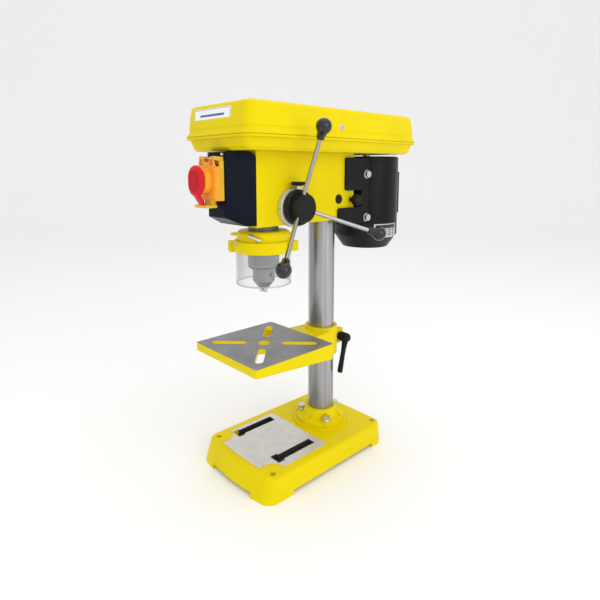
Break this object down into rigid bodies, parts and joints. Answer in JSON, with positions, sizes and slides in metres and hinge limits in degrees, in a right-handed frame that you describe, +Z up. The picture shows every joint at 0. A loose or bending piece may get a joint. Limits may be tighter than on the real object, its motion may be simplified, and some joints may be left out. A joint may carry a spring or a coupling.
{
  "type": "drill press",
  "caption": "Bench drill press with a tilting belt cover, step pulleys, rack-fed quill, key chuck and guard, sliding slotted table, round column and slotted cast base.",
  "frame": {"origin": "centre of the rectangle of the four bench bolt holes, at the underside of the base", "axes": "+Z up along the column, -Y the operator's side, +X the feed handle side"},
  "size_m": [0.2273, 0.4528, 0.59],
  "materials": {
    "yellow_paint": "gloss enamel",
    "column_steel": "ground and polished",
    "ground_steel": "ground",
    "zinc_steel": "zinc plated",
    "spring_steel": "blued",
    "bright_rod": "bright plated",
    "graduated_ring": "satin with engraved marks",
    "black_plastic": "fine grain",
    "black_gloss": "polished",
    "black_paint": "satin powder coat",
    "orange_plastic": "satin",
    "red_plastic": "satin gloss",
    "green_plastic": "satin gloss",
    "clear_plastic": "clear polycarbonate",
    "pulley_alloy": "turned",
    "belt_rubber": "matte",
    "white_plate": "plain printed white, blank",
    "stator_iron": "laminated"
  },
  "bodies": {
    "stand": {"base_casting": "yellow_paint", "column_flange": "yellow_paint", "flange_bolts": "zinc_steel", "column": "column_steel", "head_casting": "yellow_paint", "column_set_screw": "ground_steel", "front_cover": "black_paint", "front_cover_screws": "zinc_steel", "switch_housing": "orange_plastic", "switch_hinge_pin": "zinc_steel", "sleeve_bearing": "ground_steel", "spring_housing": "black_paint", "return_spring": "spring_steel", "belt_pan": "yellow_paint", "v_belt": "belt_rubber", "lid_hinge_pins": "zinc_steel"},
    "table": {"table": "yellow_paint"},
    "table_lock": {"table_lock_lever": "black_plastic"},
    "feed": {"pinion": "ground_steel", "feed_hub": "black_plastic", "feed_rods": "bright_rod", "feed_knobs": "black_gloss", "spring_nut": "black_plastic"},
    "depth_ring": {"depth_ring": "graduated_ring"},
    "ring_lock": {"ring_lock_knob": "black_plastic"},
    "quill": {"quill": "ground_steel", "quill_bearings": "ground_steel", "guard_clamp": "yellow_paint"},
    "guard": {"guard_ring": "yellow_paint", "guard_shield": "clear_plastic", "guard_screws": "zinc_steel"},
    "spindle": {"spindle": "ground_steel", "chuck_body": "ground_steel"},
    "chuck_sleeve": {"chuck_sleeve": "ground_steel"},
    "jaw_1": {"chuck_jaw_1": "ground_steel"},
    "jaw_2": {"chuck_jaw_2": "ground_steel"},
    "jaw_3": {"chuck_jaw_3": "ground_steel"},
    "drive": {"drive_sleeve": "ground_steel", "spindle_pulley": "pulley_alloy"},
    "lid": {"belt_lid": "yellow_paint", "lid_screw": "zinc_steel", "name_plate": "white_plate"},
    "motor": {"motor_shell": "black_paint", "motor_top_cap": "black_paint", "motor_fan_cover": "black_plastic", "motor_stator": "stator_iron", "motor_bearings": "ground_steel", "capacitor_box": "black_plastic", "rating_plate": "white_plate", "motor_bracket": "black_paint", "slide_bars": "ground_steel", "motor_bolts": "zinc_steel"},
    "rotor": {"motor_rotor": "ground_steel", "motor_fan": "black_plastic", "motor_pulley": "pulley_alloy"},
    "tension_lock": {"tension_lock_knob": "black_plastic"},
    "flip_cover": {"flip_cover": "orange_plastic"},
    "stop_paddle": {"stop_paddle": "red_plastic"},
    "start_button": {"start_button": "green_plastic"},
    "stop_button": {"stop_button": "red_plastic"}
  },
  "joints": [
    {"name": "table_slide", "type": "slide", "parent": "stand", "child": "table", "axis": [0, 0, 1], "range_m": [-0.062, 0.034]},
    {"name": "table_lock_turn", "type": "hinge", "parent": "table", "child": "table_lock", "pos_m": [0, 0.095, 0.19], "axis": [1, 0, 0], "range_deg": [-12, 150]},
    {"name": "feed_turn", "type": "hinge", "parent": "stand", "child": "feed", "pos_m": [0, -0.04763, 0.438], "axis": [1, 0, 0], "range_deg": [0, 305], "stiffness_Nm_per_rad": 0.3, "springref_deg": -85.94},
    {"name": "depth_ring_turn", "type": "hinge", "parent": "feed", "child": "depth_ring", "pos_m": [0.045, -0.04763, 0.438], "axis": [1, 0, 0], "range_deg": [-150, 150]},
    {"name": "ring_lock_turn", "type": "hinge", "parent": "feed", "child": "ring_lock", "pos_m": [0.0536, -0.04763, 0.47], "axis": [0, 0, 1], "range_deg": [0, 180]},
    {"name": "quill_slide", "type": "slide", "parent": "stand", "child": "quill", "axis": [0, 0, 1], "range_m": [-0.05, 0]},
    {"name": "guard_turn", "type": "hinge", "parent": "quill", "child": "guard", "pos_m": [0, -0.074, 0.38], "axis": [0, 0, 1], "range_deg": [-180, 180]},
    {"name": "spindle_spin", "type": "hinge", "parent": "quill", "child": "spindle", "pos_m": [0, -0.074, 0.44], "axis": [0, 0, 1], "continuous": true},
    {"name": "chuck_sleeve_turn", "type": "hinge", "parent": "spindle", "child": "chuck_sleeve", "pos_m": [0, -0.074, 0.353], "axis": [0, 0, 1], "range_deg": [0, 1440]},
    {"name": "jaw_1_slide", "type": "slide", "parent": "spindle", "child": "jaw_1", "axis": [0.2079, 0, 0.9781], "range_m": [0, 0.01]},
    {"name": "jaw_2_slide", "type": "slide", "parent": "spindle", "child": "jaw_2", "axis": [-0.104, 0.1801, 0.9781], "range_m": [0, 0.01]},
    {"name": "jaw_3_slide", "type": "slide", "parent": "spindle", "child": "jaw_3", "axis": [-0.104, -0.1801, 0.9781], "range_m": [0, 0.01]},
    {"name": "drive_spin", "type": "hinge", "parent": "stand", "child": "drive", "pos_m": [0, -0.074, 0.55], "axis": [0, 0, 1], "continuous": true},
    {"name": "motor_slide", "type": "slide", "parent": "stand", "child": "motor", "axis": [0, 1, 0], "range_m": [-0.011, 0]},
    {"name": "rotor_spin", "type": "hinge", "parent": "motor", "child": "rotor", "pos_m": [0, 0.178, 0.45], "axis": [0, 0, 1], "continuous": true},
    {"name": "tension_lock_turn", "type": "hinge", "parent": "stand", "child": "tension_lock", "pos_m": [0.05, 0.089, 0.444], "axis": [1, 0, 0], "range_deg": [0, 180]},
    {"name": "lid_open", "type": "hinge", "parent": "stand", "child": "lid", "pos_m": [-0.0895, 0.03, 0.54365], "axis": [0, -1, 0], "range_deg": [0, 100]},
    {"name": "flip_cover_open", "type": "hinge", "parent": "stand", "child": "flip_cover", "pos_m": [0, -0.17255, 0.5117], "axis": [-1, 0, 0], "range_deg": [0, 100]},
    {"name": "stop_paddle_press", "type": "slide", "parent": "flip_cover", "child": "stop_paddle", "axis": [0, 1, 0], "range_m": [0, 0.0025], "stiffness_N_per_m": 400, "springref_m": -0.001},
    {"name": "stop_button_press", "type": "slide", "parent": "stand", "child": "stop_button", "axis": [0, 1, 0], "range_m": [0, 0.0025]},
    {"name": "start_button_press", "type": "slide", "parent": "stand", "child": "start_button", "axis": [0, 1, 0], "range_m": [0, 0.0025], "stiffness_N_per_m": 300, "springref_m": -0.001}
  ],
  "couplings": [
    {"joint": "quill_slide", "follows": "feed_turn", "m_per_rad": -0.009375},
    {"joint": "spindle_spin", "follows": "drive_spin", "ratio": 1},
    {"joint": "rotor_spin", "follows": "drive_spin", "ratio": 1.25},
    {"joint": "stop_button_press", "follows": "stop_paddle_press", "ratio": 1},
    {"joint": "jaw_1_slide", "follows": "chuck_sleeve_turn", "m_per_rad": 0.00039789},
    {"joint": "jaw_2_slide", "follows": "chuck_sleeve_turn", "m_per_rad": 0.00039789},
    {"joint": "jaw_3_slide", "follows": "chuck_sleeve_turn", "m_per_rad": 0.00039789}
  ]
}
